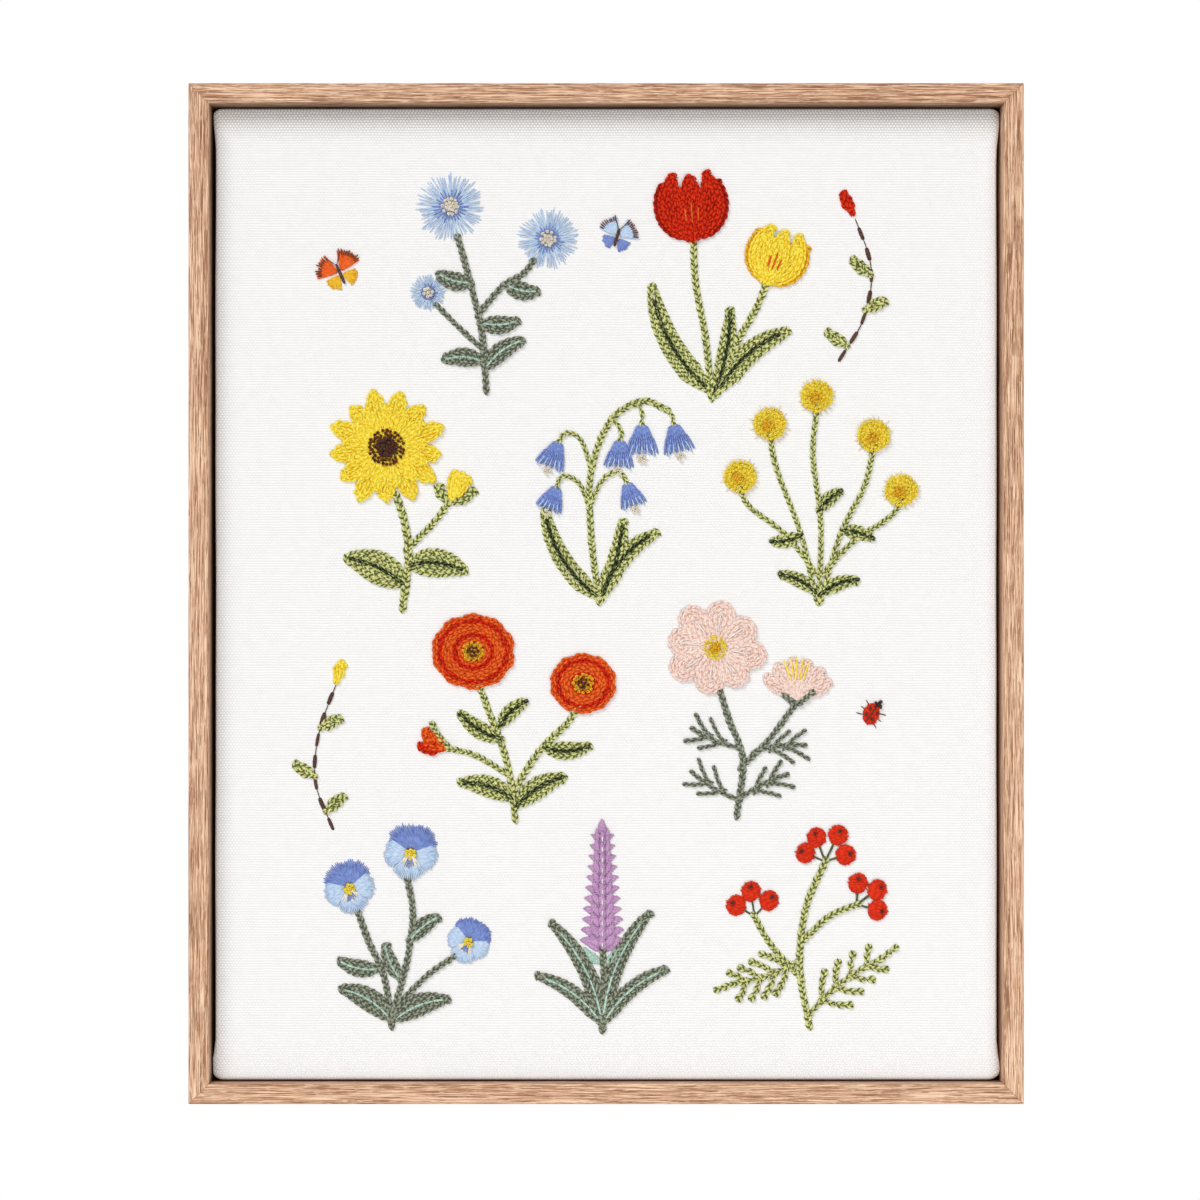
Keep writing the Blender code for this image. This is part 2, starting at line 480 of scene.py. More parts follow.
def chain_link():
    """One loop of chain stitch: two strands that leave the loop before, bulge and close round the next."""
    half = [
        (-0.64, 0.03, 0.26, 0.07, 0.16),
        (-0.30, 0.16, 0.42, 0.17, 0.36),
        (0.10, 0.27, 0.50, 0.20, 0.46),
        (0.46, 0.27, 0.50, 0.19, 0.44),
        (0.74, 0.10, 0.30, 0.11, 0.26),
    ]
    mirrored = [(x, -y, z, width, height) for x, y, z, width, height in half]
    middle = [(-0.5, 0.0, 0.14, 0.2, 0.24), (0.0, 0.0, 0.18, 0.28, 0.28), (0.5, 0.0, 0.14, 0.2, 0.24)]
    return stitch_shape("chain_link", [half, mirrored, middle], sides=6)


def straight_stitch(name, sides):
    """A laid thread that dips into the cloth at both ends."""
    profile = ((-0.5, 0.12, 0.3), (-0.42, 0.42, 0.75), (0.0, 0.5, 1.0), (0.42, 0.42, 0.75), (0.5, 0.12, 0.3))
    strand = [(x, 0.0, half * 0.9 * rise - 0.1, half, half) for x, half, rise in profile]
    return stitch_shape(name, [strand], sides)


def wound_knot():
    """A thread wound round the needle, seen from above as a small coil."""
    turns, steps = 1.25, 9
    strand = []
    for step in range(steps):
        along = step / (steps - 1)
        angle = math.tau * turns * along
        radius = 0.30 - 0.14 * along
        strand.append((radius * math.cos(angle), radius * math.sin(angle), 0.25 + 0.5 * along, 0.19, 0.26))
    return stitch_shape("wound_knot", [strand], sides=5)


def shaping(name, floats, steps):
    """A tree that sews: its inputs are the shape, the stitch, the material, a seed and the named sizes."""
    tree = bpy.data.node_groups.new(name, "GeometryNodeTree")
    kinds = {"Shape": "Geometry", "Stitch": "Object", "Thread": "Material", "Seed": "Int"}
    kinds.update({label: "Float" for label in floats})
    for label, kind in kinds.items():
        tree.interface.new_socket(name=label, in_out="INPUT", socket_type=f"NodeSocket{kind}")
    tree.interface.new_socket(name="Shape", in_out="OUTPUT", socket_type="NodeSocketGeometry")
    graph = Graph(tree)
    given = graph.node("NodeGroupInput")
    stitch = graph.node("GeometryNodeObjectInfo", {}, {"Object": given.other("Stitch")}, output="Geometry")
    points, rotation, size = steps(graph, given)
    sockets = {"Points": points, "Instance": stitch, "Rotation": rotation, "Scale": size}
    sewn = graph.node("GeometryNodeInstanceOnPoints", {}, sockets)
    toned = graph.carry(sewn, "tone", uneven(graph, given, 0.0, 1.0, 0), "INSTANCE")
    real = graph.node("GeometryNodeRealizeInstances", {}, {"Geometry": toned})
    dyed = graph.node("GeometryNodeSetMaterial", {}, {"Geometry": real, "Material": given.other("Thread")})
    graph.node("NodeGroupOutput", {}, {"Shape": dyed})
    return tree


def uneven(graph, given, low, high, offset):
    """A random number for each stitch."""
    sockets = {2: low, 3: high, "Seed": given.other("Seed") + offset}
    return graph.node("FunctionNodeRandomValue", {"data_type": "FLOAT"}, sockets, output=1)


def sized(graph, length, width, height):
    return graph.node("ShaderNodeCombineXYZ", {}, {0: length, 1: width, 2: height})


def lying(graph, heading):
    """The rotation that lays a stitch along a heading with its top side out of the cloth."""
    along = graph.node("FunctionNodeAlignRotationToVector", {"axis": "X"}, {"Vector": heading})
    settings = {"axis": "Z", "pivot_axis": "X"}
    return graph.node("FunctionNodeAlignRotationToVector", settings, {"Rotation": along, "Vector": (0, 0, 1)})


def chained(graph, given):
    """Links of chain stitch at an even pitch along each row."""
    pitch = given.other("Pitch")
    rows = graph.node("GeometryNodeMeshToCurve", {}, {"Mesh": given})
    points = graph.node("GeometryNodeResampleCurve", {"mode": "LENGTH"}, {"Curve": rows, "Length": pitch})
    heading = graph.node("GeometryNodeInputTangent")
    width = graph.carried("width") * uneven(graph, given, 0.92, 1.08, 1)
    length = pitch * uneven(graph, given, 0.94, 1.06, 2)
    return points, lying(graph, heading), sized(graph, length, width, given.other("Height"))


def laid(graph, given):
    """One straight stitch along each edge."""
    ends = graph.node("GeometryNodeInputMeshEdgeVertices", output="Position 1")
    sockets = {0: ends.other("Position 2"), 1: ends}
    reach = graph.node("ShaderNodeVectorMath", {"operation": "SUBTRACT"}, sockets)
    kept = graph.carry(given, "reach", reach, "EDGE", "FLOAT_VECTOR")
    points = graph.node("GeometryNodeMeshToPoints", {"mode": "EDGES"}, {"Mesh": kept})
    heading = graph.carried("reach", "FLOAT_VECTOR")
    length = graph.node("ShaderNodeVectorMath", {"operation": "LENGTH"}, {0: heading}, output="Value")
    width = graph.carried("width") * uneven(graph, given, 0.85, 1.15, 1)
    return points, lying(graph, heading), sized(graph, length, width, given.other("Height"))


def knotted(graph, given):
    """Knots spread over faces, none nearer to its neighbour than the pitch."""
    pitch = given.other("Pitch")
    sockets = {"Mesh": given, "Distance Min": pitch, "Density Max": 10.0, "Seed": given.other("Seed")}
    points = graph.node("GeometryNodeDistributePointsOnFaces", {"distribute_method": "POISSON"}, sockets)
    spin = graph.node("ShaderNodeCombineXYZ", {}, {2: uneven(graph, given, 0.0, math.tau, 3)})
    wide = uneven(graph, given, 1.3, 1.6, 4) * pitch
    return points, spin, sized(graph, wide, wide, given.other("Height"))


def sew(name, tree, settings, points, edges=(), faces=(), widths=(), place=TO_FRAME):
    """Runs a sewing tree on a shape in panel millimetres, and returns the stitches as a plain mesh piece."""
    mesh = new_mesh(name, [tuple(point) for point in points], list(faces), list(edges))
    if len(widths):
        layer = mesh.attributes.new("width", "FLOAT", "POINT")
        layer.data.foreach_set("value", np.array(widths, dtype=np.float32))
    base = new_object(name + "_base", mesh)
    modifier = base.modifiers.new("sewing", "NODES")
    modifier.node_group = tree
    for socket in tree.interface.items_tree:
        if socket.in_out == "INPUT" and socket.name in settings:
            modifier[socket.identifier] = settings[socket.name]
    stitched = plain_mesh(base)
    bpy.data.objects.remove(base)
    stitched.transform(place)
    stitched.name = name
    return new_object(name, stitched)


def through(points, samples=8):
    """A smooth line through points (Catmull-Rom)."""
    spots = np.array(points, dtype=float)
    spots = np.vstack([2 * spots[0] - spots[1], spots, 2 * spots[-1] - spots[-2]])
    line = []
    for before, start, end, after in zip(spots, spots[1:], spots[2:], spots[3:]):
        for step in range(samples):
            t = step / samples
            pull = (end - before) * t
            curve = (2 * before - 5 * start + 4 * end - after) * t**2
            twist = (3 * start - before - 3 * end + after) * t**3
            line.append(0.5 * (2 * start + pull + curve + twist))
    line.append(spots[-2])
    return np.array(line)


def bowed(start, end, bend, samples=20):
    """A line from start to end, bowed to its left by a share of its length."""
    start, end = np.array(start, dtype=float), np.array(end, dtype=float)
    chord = end - start
    middle = (start + end) / 2 + np.array((-chord[1], chord[0])) * bend
    t = np.linspace(0, 1, samples)[:, None]
    return (1 - t) ** 2 * start + 2 * t * (1 - t) * middle + t**2 * end


def leftward(line):
    """The unit vector to the left of a line at each of its points."""
    heading = np.gradient(line, axis=0)
    heading /= np.linalg.norm(heading, axis=1)[:, None]
    return np.column_stack([-heading[:, 1], heading[:, 0]])


def lengths_along(line):
    """How far along a line each of its points lies."""
    return np.concatenate([[0], np.cumsum(np.linalg.norm(np.diff(line[:, :2], axis=0), axis=1))])


def read_at(places, known, line):
    """A line's points at places given in the measure of its known places."""
    return np.column_stack([np.interp(places, known, line[:, axis]) for axis in (0, 1)])


def almond(t):
    return np.sin(np.pi * t**0.8) ** 0.75


def strap(t):
    return np.minimum(1, 3.2 * t + 0.35) * np.sqrt(np.maximum(0, 1 - t**3))


def disc(t):
    return np.sqrt(np.maximum(0, 1 - (2 * t - 1) ** 2))


def paddle(t):
    return (0.35 + 0.65 * np.sin(np.pi / 2 * np.minimum(1, t / 0.7))) * np.sqrt(np.maximum(0, 1 - t**6))


def polar(centre, radius, angle):
    """The point at a radius and an angle in degrees, anticlockwise from the right."""
    turn = math.radians(angle)
    return (centre[0] + radius * math.cos(turn), centre[1] + radius * math.sin(turn))


class Plan:
    """Every stitch by thread, in millimetres across, up and out from the middle of the cloth's face."""

    def __init__(self):
        self.chains = defaultdict(list)
        self.long = defaultdict(list)
        self.knots = defaultdict(list)
        self.draw = np.random.default_rng(11)


class Sprig:
    """Draws one plant on the plan from its foot, turned and sized into its place."""

    def __init__(self, plan, across, up, turn=0.0, size=1.0):
        self.plan = plan
        self.foot = np.array((across, up), dtype=float)
        self.size = size
        angle = math.radians(turn)
        rotation = np.array(((math.cos(angle), math.sin(angle)), (-math.sin(angle), math.cos(angle))))
        self.turn = rotation * size

    def placed(self, points):
        return np.atleast_2d(np.array(points, dtype=float)) @ self.turn + self.foot

    def part(self, spot, turn, size):
        """A pen for a flower at a spot of this plant."""
        return Sprig(self.plan, *self.placed(spot)[0], turn, size * self.size)

    def chain(self, thread, line, width=STEM_WIDTH, lift=0.0):
        """A row of chain stitch along a line."""
        spots = self.placed(line)
        lifts = np.full(len(spots), float(lift))
        widths = np.broadcast_to(np.asarray(width, dtype=float), len(spots))
        self.plan.chains[thread].append((np.column_stack([spots, lifts]), widths))

    def stem(self, thread, points, width=STEM_WIDTH, lift=0.0):
        self.chain(thread, through(points), width, lift)

    def stitches(self, thread, starts, ends, width=FLOSS_WIDTH, lift=0.0):
        """Long straight stitches, each from a start to an end."""
        for start, end in zip(self.placed(starts), self.placed(ends)):
            self.plan.long[thread].append(((*start, lift), (*end, lift), width))

    def leaf(self, thread, base, tip, width, bend=0.0, vein=None, shape=almond, lift=0.0):
        """A leaf or petal of chain stitch: rows up one side, round the tip and down the other, inwards."""
        spine = bowed(base, tip, bend, 40)
        side = leftward(spine)
        half = shape(np.linspace(0, 1, len(spine))) * width / 2
        inset = FILL_WIDTH / 2 / self.size
        step = ROW_STEP / self.size
        remaining = half.max() - inset
        if remaining > 0.45 * step:
            under = np.flatnonzero(half > inset * 1.3)[::3]
            cover = (side * (half - inset)[:, None])[under]
            self.stitches(thread, spine[under] + cover, spine[under] - cover, PADDING_WIDTH, lift - 0.25)
        while remaining > 0.45 * step:
            kept = half > inset
            reach = (side * (half - inset)[:, None])[kept]
            self.chain(thread, np.vstack([spine[kept] + reach, (spine[kept] - reach)[::-1]]), ROW_WIDTH, lift)
            inset += step
            remaining -= step
        if remaining > -0.35 * step:
            self.chain(thread, spine[half > inset - 0.6 * step], ROW_WIDTH, lift)
        if vein == "mint":
            marks = spine[3:-4:6]
            self.stitches(vein, marks[:-1], marks[1:], 1.35, lift + 1.35)
        elif vein:
            self.chain(vein, spine[2:-7], FILL_WIDTH * 0.8, lift + 0.5)

    def leaves(self, thread, vein, rows, shape=almond):
        """Leaves of one kind, each given by its base, tip, width and bend."""
        for base, tip, width, bend in rows:
            self.leaf(thread, base, tip, width, bend, vein, shape)

    def satin(self, thread, base, tip, width, bend=0.0, shape=almond, lift=0.4, slant=0.35, floss=FLOSS_WIDTH):
        """A small petal of satin stitch: slanting stitches side by side across its spine."""
        spine = bowed(base, tip, bend, 40)
        length = np.linalg.norm(spine[-1] - spine[0]) * self.size
        share = np.linspace(0.05, 0.95, max(4, round(length / (floss * 0.62))))
        ragged = self.plan.draw.uniform(0.9, 1.12, len(share))
        half = shape(share) * width / 2 * ragged
        place = share * (len(spine) - 1)
        steps = np.arange(len(spine))
        spots = read_at(place, steps, spine)
        sides = read_at(place, steps, leftward(spine))
        ahead = np.column_stack([sides[:, 1], -sides[:, 0]])
        reach = (sides + ahead * slant) * half[:, None]
        self.stitches(thread, spots - reach, spots + reach, floss, lift)

    def round_satin(self, thread, centre, radius, width, lift, floss):
        """A disc of satin stitch."""
        left, right = (centre[0] - radius, centre[1]), (centre[0] + radius, centre[1])
        self.satin(thread, left, right, width, shape=disc, lift=lift, slant=0.0, floss=floss)

    def bloom(self, thread, centre, petals, inner, outer, width, start=90, shape=paddle, lift=0.5, squash=1.0):
        """Petals all round a centre."""
        for index in range(petals):
            angle = start + 360 / petals * index
            reach = outer * (1 + 0.06 * math.sin(index * 2.4))
            ends = []
            for radius in (inner, reach):
                across, up = polar(centre, radius, angle)
                ends.append((across, centre[1] + (up - centre[1]) * squash))
            bend = 0.06 * math.sin(index * 1.7)
            self.leaf(thread, *ends, width, bend, shape=shape, lift=lift + 0.12 * (index % 2))

    def rays(self, thread, centre, inner, outer, count, width=FLOSS_WIDTH, lift=0.3, ragged=0.12, arc=(0, 360)):
        """Long stitches that fan out from a centre, their ends ragged."""
        angles = np.linspace(arc[0], arc[1], count, endpoint=arc[1] - arc[0] < 360)
        reach = outer * (1 + ragged * self.plan.draw.uniform(-1, 0.6, count))
        drift = self.plan.draw.uniform(-1.5, 1.5, count)
        starts = [polar(centre, inner, angle) for angle in angles]
        ends = [polar(centre, *end) for end in zip(reach, angles + drift)]
        self.stitches(thread, starts, ends, width, lift)

    def dots(self, thread, centre, radius, lift=0.6, squash=1.0):
        """A round patch of knots over a disc of satin stitch."""
        count = 16
        spots = self.placed([polar(centre, radius, 360 / count * index) for index in range(count)])
        middle = self.placed(centre)[0, 1]
        spots[:, 1] = (spots[:, 1] - middle) * squash + middle
        floss = min(2.0, radius * 0.8)
        self.round_satin(thread, centre, radius, 1.9 * radius * squash, lift - 0.5, floss)
        self.plan.knots[thread].append(np.column_stack([spots, np.full(count, lift)]))


def asters(pen):
    """Pale blue star flowers of long stitches on slate stems with paired leaves."""
    pen.stem("slate", [(0, 0), (-2, 28), (-8, 54), (-14, 76)])
    pen.stem("slate", [(-4, 38), (8, 52), (18, 58), (23, 64)])
    pen.stem("slate", [(-1, 20), (-14, 32), (-24, 42)], STEM_WIDTH * 0.85)
    pen.leaves("slate", "mint", (
        ((-1, 10), (22, 26), 9.5, 0.22), ((-1, 14), (-24, 14), 9.5, -0.25), ((-3, 34), (18, 36), 9.5, -0.2),
        ((-7, 54), (-26, 60), 9.5, 0.2), ((10, 53), (28, 50), 9.5, -0.2),
    ))
    for centre, radius, petals in (((-18, 92), 17, 13), ((31, 76), 15, 13), ((-29, 49), 9, 8)):
        for petal in range(petals):
            angle = 360 / petals * petal
            half = 360 / petals * 0.36
            pen.rays("pale_blue", centre, 3, radius, 5, lift=0.2, arc=(angle - half, angle + half))
        pen.rays("periwinkle", centre, 2, radius * 0.5, petals * 2, 0.8, 0.75, 0.25)
        pen.dots("cream", centre, radius * 0.24, 1.0)


def tulips(pen):
    """A red and a yellow cup flower with long strap leaves."""
    pen.stem("leaf", [(0, 0), (-3, 30), (-8, 58), (-9, 80)])
    pen.stem("leaf", [(3, 2), (12, 26), (22, 44), (28, 58)])
    straps = (((-1, 4), (-30, 58), 12, 0.20), ((4, 4), (40, 34), 12, 0.20))
    pen.leaves("leaf", "leaf_vein", straps, strap)
    pen.leaf("leaf", (1, 2), (9, 50), 9, -0.12, vein="leaf_vein")
    for spot, tilt, size, outer, inner in (
        ((-9, 80), 4, 1.0, "brick", "red"), ((28, 58), -20, 0.86, "gold", "yellow"),
    ):
        head = pen.part(spot, tilt, size)
        for side in (-1, 1):
            head.leaf(outer, (side * 2, 0), (side * 13.5, 30), 13, -0.30 * side, lift=0.1)
            head.leaf(inner, (side * 2, 0), (side * 7.5, 34), 14.5, -0.30 * side, lift=0.6)
        head.leaf(inner, (0, -1), (0, 33), 15, lift=1.2)
        head.stitches("orange", [(-3, 8), (0, 7), (3, 8)], [(-3.4, 15), (0, 18), (3.4, 15)], 1.1, 2.6)


def sunflower(pen):
    """One broad golden head and a bud on a thick stem with heart-shaped leaves."""
    pen.stem("leaf", [(0, 0), (3, 26), (1, 44), (-3, 57)], STEM_WIDTH * 1.15)
    pen.stem("leaf", [(2, 30), (16, 44), (25, 56)])
    pen.leaves("leaf", "leaf_vein", (((1, 12), (-31, 26), 17, -0.16), ((3, 22), (34, 18), 15, 0.20)))
    centre, bud = (-8, 82), (25, 56)
    pen.bloom("yellow", centre, 13, 7, 28, 10.5, start=76, lift=0.3)
    pen.bloom("yellow", centre, 13, 7, 21, 8, start=90, lift=0.9)
    pen.dots("brown", centre, 9.0, 1.9)
    pen.dots("bark", centre, 4.5, 2.6)
    pen.leaves("leaf", None, (((24, 54), (17, 66), 6, 0.2), ((26, 54), (38, 63), 6, -0.2)))
    for angle in (82, 66, 50):
        pen.leaf("yellow", bud, polar(bud, 17, angle), 7, 0, lift=0.5)


def bells(pen):
    """An arching stem hung with periwinkle bells."""
    pen.stem("leaf", [(0, 0), (-4, 34), (-4, 66), (6, 92), (22, 102), (34, 98)])
    straps = (((0, 2), (-28, 50), 10, 0.22), ((2, 2), (32, 36), 10, 0.25), ((1, 4), (12, 44), 9, -0.14))
    pen.leaves("leaf", "leaf_vein", straps, strap)
    for stalk, tilt, size in (
        ([(34, 98), (37, 95), (38, 91)], 12, 1.0),
        ([(20, 101), (22, 96), (22, 91)], 0, 1.05),
        ([(7, 93), (11, 88), (11, 83)], -4, 0.95),
        ([(-4, 68), (-9, 82), (-16, 86), (-20, 82)], -22, 0.95),
        ([(-4, 46), (-10, 60), (-18, 64), (-21, 59)], -22, 0.85),
        ([(-4, 50), (2, 62), (10, 66), (14, 61)], 18, 0.85),
    ):
        pen.stem("leaf", stalk, STEM_WIDTH * 0.7)
        bell = pen.part(stalk[-1], tilt, size)
        share = np.linspace(-1, 1, 11)
        shoulder = np.column_stack([share * 2.4, -0.5 - np.abs(share)])
        waist = np.column_stack([share * 5.2, -9.0 + np.abs(share) * 0.8])
        hem = np.column_stack([share * 7.8, -16.5 + 1.6 * np.abs(np.sin(share * 4.2))])
        bell.stitches("periwinkle", shoulder, waist, 1.2, 0.9)
        bell.stitches("periwinkle", waist + (0, 1.2), hem, 1.4, 0.7)
        bell.stitches("pale_blue", waist[1::2] - (0, 2.0), hem[1::2] - (0, 0.6), 0.8, 1.3)
        bell.dots("cream", (0, -17.5), 1.7, 0.5)


def buttons(pen):
    """Round yellow heads of knots on thin stems."""
    for points in (
        [(0, 0), (-8, 34), (-20, 66), (-24, 84)], [(1, 0), (2, 40), (-2, 74), (0, 98)],
        [(2, 0), (12, 34), (24, 58), (29, 78)], [(0, 14), (-16, 34), (-34, 48), (-39, 57)],
        [(3, 14), (18, 30), (36, 42), (43, 50)],
    ):
        pen.stem("leaf", points, STEM_WIDTH * 0.78)
        across, up = points[-1]
        pen.rays("cream", (across, up + 6.5), 5, 10.2, 24, 0.7, 0.1, 0.2)
        pen.dots("yellow", (across, up + 6.5), 8.0, 0.9)
        pen.dots("gold", (across - 1, up + 5.5), 2.6, 1.7)
    pen.leaves("leaf", "leaf_vein", (
        ((0, 4), (-22, 14), 7.5, -0.2), ((1, 3), (24, 11), 7.5, 0.2), ((-8, 34), (-25, 31), 7.5, 0.2),
        ((13, 36), (30, 31), 7.5, 0.15), ((1, 46), (14, 57), 7.5, 0.15),
    ))


def zinnias(pen):
    """Round orange heads worked in scalloped rings, and a bud."""
    pen.stem("leaf", [(0, 0), (-4, 28), (-14, 56), (-19, 70)])
    pen.stem("leaf", [(-1, 14), (12, 34), (26, 48), (31, 56)])
    pen.stem("leaf", [(-3, 22), (-20, 32), (-36, 36)], STEM_WIDTH * 0.85)
    angles = np.linspace(0, math.tau, 70)
    for centre, radius, rings in (((-21, 84), 20, 6), ((34, 68), 16, 5)):
        pen.round_satin("orange", centre, radius - 1, 1.8 * (radius - 1), 0.1, 3.4)
        for ring in range(rings):
            reach = radius - 1.6 - ring * RING_STEP
            scallop = 1 + 0.075 * np.abs(np.sin(angles * 5 + ring * 0.9))
            across = centre[0] + reach * scallop * np.cos(angles)
            up = centre[1] + reach * scallop * np.sin(angles) * 0.9
            thread = "red" if ring % 3 == 1 else "orange"
            pen.chain(thread, np.column_stack([across, up]), FILL_WIDTH * 1.08, 0.5 + 0.2 * ring)
        pen.dots("gold", centre, 5.2, 1.9, 0.9)
        pen.dots("brown", centre, 2.6, 2.6, 0.9)
    pen.leaf("orange", (-36, 36), (-46, 46), 9, 0.2, lift=0.5)
    pen.leaf("red", (-36, 36), (-50, 38), 7, 0.2, lift=0.3)
    pen.leaf("leaf", (-33, 36), (-41, 47), 5, 0.1, lift=0.9)
    pen.leaves("leaf", "leaf_vein", (
        ((0, 6), (28, 22), 11, 0.18), ((-1, 10), (-30, 18), 11, -0.2), ((-6, 40), (-30, 56), 9, 0.18),
        ((14, 36), (40, 38), 9, -0.2), ((-8, 46), (8, 60), 8, 0.2),
    ))


def cosmos(pen):
    """Blush flowers with yellow middles over feathery slate leaves."""
    pen.stem("slate", [(0, 0), (3, 28), (-4, 48), (-8, 61)])
    pen.stem("slate", [(2, 24), (16, 38), (28, 54)], STEM_WIDTH * 0.9)
    centre, cup = (-11, 84), (30, 60)
    pen.bloom("blush", centre, 8, 4, 24, 16, start=80, lift=0.4, squash=0.94)
    for index in range(8):
        angle = 80 + 45 * index
        pen.stitches("white", [polar(centre, 8, angle)], [polar(centre, 17, angle)], 0.9, 2.0)
    pen.dots("yellow", centre, 5.4, 1.3)
    pen.dots("gold", centre, 2.2, 2.1)
    for angle in (150, 124, 98, 72, 46, 24):
        pen.leaf("blush", cup, polar(cup, 18, angle), 9.5, 0, shape=paddle, lift=0.5)
    pen.stem("slate", [(24, 60), (30, 56), (37, 61)], STEM_WIDTH * 0.9, 1.0)
    pen.rays("yellow", cup, 8, 19, 5, 1.0, 1.9, 0.1, (70, 110))
    for foot, reach, angle in (((1, 8), 26, 150), ((1, 8), 26, 28), ((1, 34), 24, 158), ((9, 32), 24, 8)):
        tip = polar(foot, reach, angle)
        pen.chain("slate", bowed(foot, tip, 0.1), FILL_WIDTH * 0.9)
        for share, side in ((0.35, 38), (0.35, -38), (0.65, 34), (0.65, -34)):
            start = (foot[0] + (tip[0] - foot[0]) * share, foot[1] + (tip[1] - foot[1]) * share)
            pen.chain("slate", bowed(start, polar(start, 11, angle + side), 0.08), FILL_WIDTH * 0.8)


def pansies(pen):
    """Faceless pansies of satin stitch, periwinkle above and pale blue below."""
    pen.stem("slate", [(0, 0), (-4, 26), (-12, 44), (-17, 58)])
    pen.stem("slate", [(0, 4), (8, 34), (11, 58), (8.5, 75)])
    pen.stem("slate", [(2, 10), (18, 26), (32, 36)], STEM_WIDTH * 0.9)
    pen.leaves("slate", "mint", (
        ((0, 3), (-30, 20), 12, -0.22), ((1, 3), (32, 14), 12, 0.2), ((-6, 30), (-30, 36), 9, 0.2),
        ((9, 44), (27, 58), 9, 0.16), ((5, 24), (-4, 46), 8, 0.15),
    ))
    for spot, tilt, size in (((-22, 72), 14, 1.0), ((10, 90), -8, 1.05), ((40, 44), -26, 0.85)):
        flower = pen.part(spot, tilt, size)
        for thread, middle, half, reach, lift in (
            ("periwinkle", 122, 36, 15, 0.2), ("periwinkle", 58, 36, 15, 0.2),
            ("pale_blue", 188, 34, 13.5, 0.5), ("pale_blue", -8, 34, 13.5, 0.5),
            ("pale_blue", 270, 42, 14, 0.8),
        ):
            for angle in np.linspace(-half, half, 19):
                bulge = reach * math.cos(math.radians(angle) * 1.05) ** 0.55
                length = bulge * (1 + 0.05 * pen.plan.draw.uniform(-1, 1))
                start, end = polar((0, 0), 2.2, middle + angle), polar((0, 0), length, middle + angle)
                flower.stitches(thread, [start], [end], 1.0, lift)
        flower.rays("cream", (0, 0), 1.5, 7.5, 16, 0.8, 1.3, 0.3, (225, 315))
        flower.rays("periwinkle", (0, 0), 2.5, 7.0, 5, 0.7, 1.7, 0.2, (250, 290))
        flower.dots("yellow", (0, -0.5), 2.3, 1.4)


def hyacinth(pen):
    """A lilac spike of slanting satin florets between long slate leaves."""
    pen.stem("slate", [(0, 0), (1, 24), (0, 46)], STEM_WIDTH * 1.05)
    pen.stem("lilac", [(0, 46), (0, 76), (0, 104)])
    for side in (-1, 1):
        pen.satin("mint", (side * 1.5, 36), (side * 10, 45), 5.5, -0.15 * side)
    for tier in range(11):
        up = 44 + tier * 5.7
        size = 1 - 0.05 * tier
        for side in (-1, 1):
            near, far = (side, up), (side * 12 * size, up + 4.5)
            pen.satin("lilac", near, far, 5.8 * size, 0.12 * side, lift=0.3, slant=0.7 * side, floss=1.6)
            near, far = (side * 2.5, up + 1), (side * 6 * size, up + 8)
            pen.satin("lilac", near, far, 4.8 * size, lift=1.0, slant=-0.5 * side, floss=1.6)
        pen.satin("lilac", (0, up), (0, up + 7), 4.6 * size, lift=1.6, slant=0.6, floss=1.5)
        pen.stitches("white", [(0, up + 1)], [(0, up + 3.5)], 0.8, 2.3)
    pen.satin("lilac", (0, 104), (0, 114), 5)
    pen.leaves("slate", "mint", (
        ((0, 3), (-30, 60), 10, -0.18), ((0, 3), (28, 66), 10, 0.18), ((0, 3), (-38, 30), 9, -0.2),
        ((0, 3), (38, 34), 9, 0.2),
    ), strap)


def berries(pen):
    """Red berries over feathered leaves."""
    pen.stem("leaf", [(0, 0), (-5, 30), (-2, 60), (8, 84)])
    pen.stem("leaf", [(-4, 24), (-20, 42), (-28, 56)], STEM_WIDTH * 0.9)
    pen.stem("leaf", [(-3, 44), (10, 56), (24, 62)], STEM_WIDTH * 0.9)
    for start, end in (((0, 6), (36, 34)), ((-5, 34), (-38, 22))):
        along = bowed(start, end, 0.12)
        pen.chain("leaf", along, FILL_WIDTH)
        aim = math.degrees(math.atan2(end[1] - start[1], end[0] - start[0]))
        for index in (4, 8, 12, 16):
            foot = along[index]
            for side in (-1, 1):
                tip = polar(foot, 15 - index * 0.4, aim + side * 48)
                pen.chain("leaf", bowed(foot, tip, side * 0.12), FILL_WIDTH * np.linspace(1.0, 1.3, 20))
        pen.chain("leaf", bowed(along[-1], polar(along[-1], 9, aim), 0.0), FILL_WIDTH * 1.2)
    for fork, stalks in (
        ((8, 84), ((18, 11), (64, 15), (110, 13), (156, 11))),
        ((-28, 56), ((48, 11), (98, 13), (148, 11))),
        ((24, 62), ((-14, 11), (36, 13), (86, 11))),
    ):
        for index, (angle, reach) in enumerate(stalks):
            centre = polar(fork, reach, angle)
            pen.stitches("leaf_vein", [fork], [centre], 1.3, 0.2)
            low, high = polar(centre, 5.2, 250), polar(centre, 5.2, 70)
            lift = 0.7 + 0.3 * (index % 2)
            pen.satin("red", low, high, 10.4, shape=disc, lift=lift, slant=0.0, floss=1.5)
            pen.rays("bark", polar(centre, 2.4, angle), 0.1, 1.7, 5, 0.6, 1.8, 0.1)


